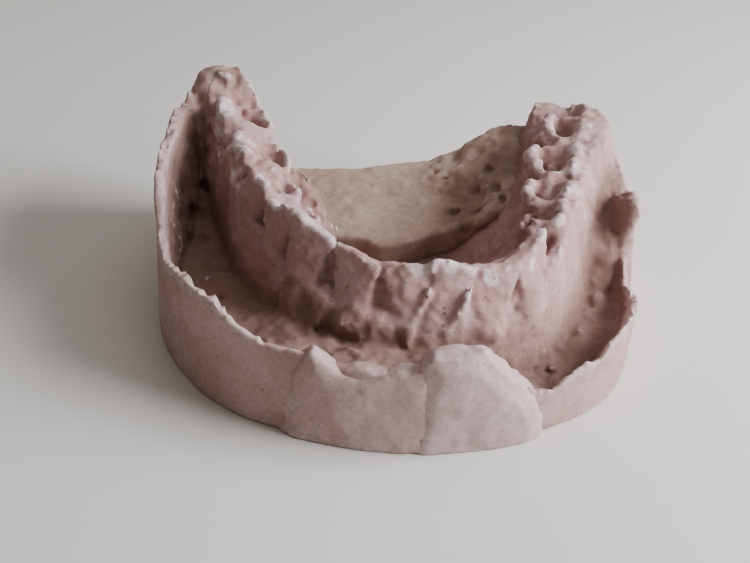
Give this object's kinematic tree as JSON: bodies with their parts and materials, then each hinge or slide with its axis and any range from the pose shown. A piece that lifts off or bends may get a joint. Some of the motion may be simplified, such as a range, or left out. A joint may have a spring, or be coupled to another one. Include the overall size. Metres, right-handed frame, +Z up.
{
  "type": "dental study cast",
  "caption": "Lower-jaw plaster study cast: a ragged-rimmed base dish, a full arch of gums and teeth, a tongue-space slab and two lapped patches on the front wall.",
  "frame": {"origin": "middle of the cast's bounding box, on the flat bottom face that stands on the table", "axes": "+X towards the patient's left, -Y towards the lips, +Z up through the teeth"},
  "size_m": [0.0686, 0.0642, 0.0282],
  "materials": {
    "base_stone": "matte, chalky, slightly pitted",
    "arch_stone": "matte, chalky on the worn crests",
    "slab_stone": "matte, smoothed when wet",
    "patch_stone": "matte, trowelled"
  },
  "bodies": {
    "root": {"base_pour": "base_stone", "arch_pour": "arch_stone", "tongue_space_fill": "slab_stone", "front_patch_right": "patch_stone", "front_patch_left": "patch_stone"}
  },
  "joints": []
}
